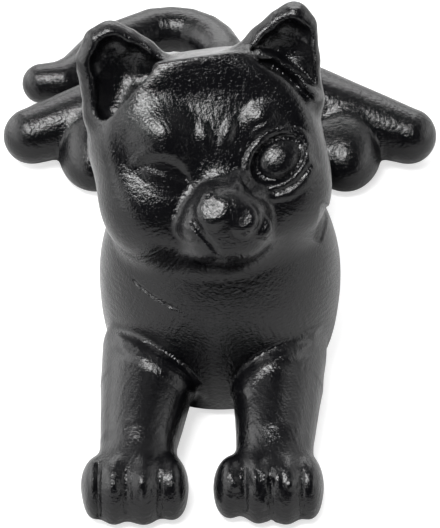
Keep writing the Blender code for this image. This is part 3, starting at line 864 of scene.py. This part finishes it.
# Down the outside of the spigot, in under it and up the tapped hole: half across, half back and height.
SPIGOT = (
    (10, 7, SEAT_GAP), (10, 7, -4.9), (9.4, 6.4, -5.5), (4.8, 4.8, -5.5), (4.3, 4.3, -5), (4.3, 4.3, 16),
    (0.1, 0.1, 17.5),
)
SPIGOT_SIDES = 64
rings = []
around = np.linspace(0, 2 * math.pi, SPIGOT_SIDES, endpoint=False)
for across, back, height in SPIGOT:
    ring = SEAT_CENTRE.reshape(3, 1) + SEAT_AXES @ np.stack(
        (across * np.cos(around), back * np.sin(around), np.full(SPIGOT_SIDES, float(height)))
    )
    rings.append([made.verts.new(point) for point in ring.T * 0.001])
for upper, lower in zip(rings, rings[1:]):
    for i in range(SPIGOT_SIDES):
        made.faces.new((upper[i - 1], upper[i], lower[i], lower[i - 1]))
made.faces.new(rings[-1])
top_edges = [made.edges.get((rings[0][i - 1], rings[0][i])) for i in range(SPIGOT_SIDES)]
bmesh.ops.triangle_fill(made, edges=rim + top_edges, use_beauty=True, normal=-Vector(SEAT_AXES[:, 2]))
bmesh.ops.recalc_face_normals(made, faces=made.faces[:])
for edge in rim + top_edges:
    edge.smooth = False
head = finished_piece("head_skin", made, enamel)
lay_hair(head, from_nose=True)
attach(head, "root")
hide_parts("head_casting")

# Neck screw and its washers
# Hexagon screw, spring washer and flat washer, turned and pressed steel with a zinc plating. They draw the
# head down on its seat from inside the trunk.

# Zinc plating gives the eye a pale bright metal with a cloudy dulness. Its crystals are far under a tenth of
# a millimetre wide, too fine to show, so the clouds are drawn nine to 10 mm.
ZINC_CLOUD = 10 / 9
zinc, tree, shader = new_material("zinc_plated_steel", {"Metallic": 1.0})
place = add_node(tree, "ShaderNodeTexCoord").outputs["Object"]
clouds = add_node(tree, "ShaderNodeTexNoise", {"Vector": place, "Scale": scale_of(ZINC_CLOUD), "Detail": 4.0})
dull = add_node(tree, "ShaderNodeMapRange", {"Value": clouds.outputs[0], "To Min": 0.25, "To Max": 0.5})
tree.links.new(dull.outputs[0], shader.inputs["Roughness"])
film = add_node(tree, "ShaderNodeValToRGB", {"Fac": clouds.outputs[0]})
film.color_ramp.elements[0].color = linear("#9fa3a8")
film.color_ramp.elements[1].color = linear("#c9ccd0")
tree.links.new(film.outputs[0], shader.inputs["Base Color"])
for name in ("neck_screw", "spring_washer", "flat_washer"):
    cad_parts[name].material_slots[0].material = zinc

# Floor pads
# Discs punched from thin rubber sheet, one glued under each paw and one under the turn of the tail, so that
# the iron neither scratches the floor nor slides.

# Black sheet rubber is dull and takes up dust, which gives the eye paler specks. Real dust is too fine to
# show, so the specks are drawn seven to 10 mm.
DUST_SPECK = 10 / 7
rubber, tree, shader = new_material("black_rubber", {"Roughness": 0.8})
place = add_node(tree, "ShaderNodeTexCoord").outputs["Object"]
dust = add_node(tree, "ShaderNodeTexNoise", {"Vector": place, "Scale": scale_of(DUST_SPECK), "Detail": 4.0})
dusted = add_node(tree, "ShaderNodeValToRGB", {"Fac": dust.outputs[0]})
dusted.color_ramp.elements[0].color = linear("#101010")
dusted.color_ramp.elements[1].color = linear("#262524")
tree.links.new(dusted.outputs[0], shader.inputs["Base Color"])
sheet_grain = add_node(tree, "ShaderNodeBump", {"Height": dust.outputs[0], "Distance": 0.0001})
tree.links.new(sheet_grain.outputs[0], shader.inputs["Normal"])
for name in ("pad_front_left", "pad_front_right", "pad_hind_left", "pad_hind_right", "pad_tail"):
    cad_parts[name].material_slots[0].material = rubber

# Floor
# White paper that the light washes out. It has a glow that only the camera sees, so it looks white, and yet
# throws no more light up at the cat than grey paper does.
PAPER_HALF = 6
PAPER_GLOW = 0.68
paper, tree, shader = new_material("white_paper", {
    "Base Color": linear("#c8c8c8"), "Roughness": 0.9, "Specular IOR Level": 0.2,
    "Emission Color": (1, 1, 1, 1),
})
to_camera = add_node(tree, "ShaderNodeLightPath").outputs["Is Camera Ray"]
glow = add_node(tree, "ShaderNodeMath", {0: to_camera, 1: PAPER_GLOW}, operation="MULTIPLY")
tree.links.new(glow.outputs[0], shader.inputs["Emission Strength"])
floor_mesh = bpy.data.meshes.new("floor")
paper_corners = [(PAPER_HALF * x, PAPER_HALF * y, 0) for x, y in ((-1, -1), (1, -1), (1, 1), (-1, 1))]
floor_mesh.from_pydata(paper_corners, [], [(0, 1, 2, 3)])
floor_mesh.materials.append(paper)
floor = bpy.data.objects.new("floor", floor_mesh)
bpy.context.scene.collection.objects.link(floor)


# Light
# A soft box above the cat, a little in front of it and to the left, and a wider and weaker one behind it,
# between white walls and two lit screens at the sides that leave the side of the camera dark.
def add_softbox(name, width, depth, power, place):
    """A lit rectangle, in metres and watts, that faces the middle of the floor."""
    light = bpy.data.lights.new(name, "AREA")
    light.shape = "RECTANGLE"
    light.size = width
    light.size_y = depth
    light.energy = power
    lamp = bpy.data.objects.new(name, light)
    bpy.context.scene.collection.objects.link(lamp)
    lamp.location = place
    lamp.rotation_euler = Vector(place).to_track_quat("Z", "Y").to_euler()


add_softbox("softbox", 0.6, 0.5, 20.0, (-0.28, -0.45, 1.18))
add_softbox("back_softbox", 1.1, 0.7, 8.0, (0, 0.95, 0.72))

# The room, by direction: the wall behind fades out towards the camera, the screens stand at both sides, and
# the ceiling is darker than the walls. The camera itself sees white all round.
world = bpy.data.worlds.new("studio")
bpy.context.scene.world = world
world.use_nodes = True
tree = world.node_tree
way = add_node(tree, "ShaderNodeTexCoord").outputs["Generated"]
parts = add_node(tree, "ShaderNodeSeparateXYZ", {0: way})
back_and_left = add_node(
    tree, "ShaderNodeMath", {0: parts.outputs["X"], 1: -0.15, 2: parts.outputs["Y"]},
    operation="MULTIPLY_ADD",
)
behind = add_node(
    tree, "ShaderNodeMapRange",
    {"Value": back_and_left.outputs[0], "From Min": -0.35, "From Max": 0.45, "To Min": 0.02},
    interpolation_type="SMOOTHSTEP",
)
leftwards = add_node(tree, "ShaderNodeMath", {0: 0.12, 1: parts.outputs["X"]}, operation="SUBTRACT")
sideways = add_node(tree, "ShaderNodeMath", {0: leftwards.outputs[0]}, operation="ABSOLUTE")
screens = add_node(
    tree, "ShaderNodeMapRange",
    {"Value": sideways.outputs[0], "From Min": 0.6, "From Max": 0.95, "To Max": 2.4},
    interpolation_type="SMOOTHSTEP",
)
round_about = add_node(tree, "ShaderNodeMath", {0: behind.outputs[0], 1: screens.outputs[0]})
below_ceiling = add_node(
    tree, "ShaderNodeMapRange",
    {"Value": parts.outputs["Z"], "From Min": 0.95, "From Max": 0.65, "To Min": 0.3},
    interpolation_type="SMOOTHSTEP",
)
walls = add_node(
    tree, "ShaderNodeMath", {0: round_about.outputs[0], 1: below_ceiling.outputs[0]}, operation="MULTIPLY"
)
to_camera = add_node(tree, "ShaderNodeLightPath").outputs["Is Camera Ray"]
level = add_node(tree, "ShaderNodeMath", {0: walls.outputs[0], 1: to_camera}, operation="MAXIMUM")
tree.links.new(level.outputs[0], tree.nodes["Background"].inputs["Strength"])
tree.nodes["Background"].inputs["Color"].default_value = (1, 1, 1, 1)

# Camera
# It stands where the carving was measured from and looks down at the cat from the front. The long lens
# takes in 147 mm of height at 0.8 m.
camera = bpy.data.cameras.new("camera")
camera.lens = 196.5
viewer = bpy.data.objects.new("camera", camera)
bpy.context.scene.collection.objects.link(viewer)
viewer.location = EYE * 0.001
viewer.rotation_euler = Vector(LOOKS).to_track_quat("-Z", "Y").to_euler()
bpy.context.scene.camera = viewer
bpy.context.scene.view_settings.view_transform = "Standard"
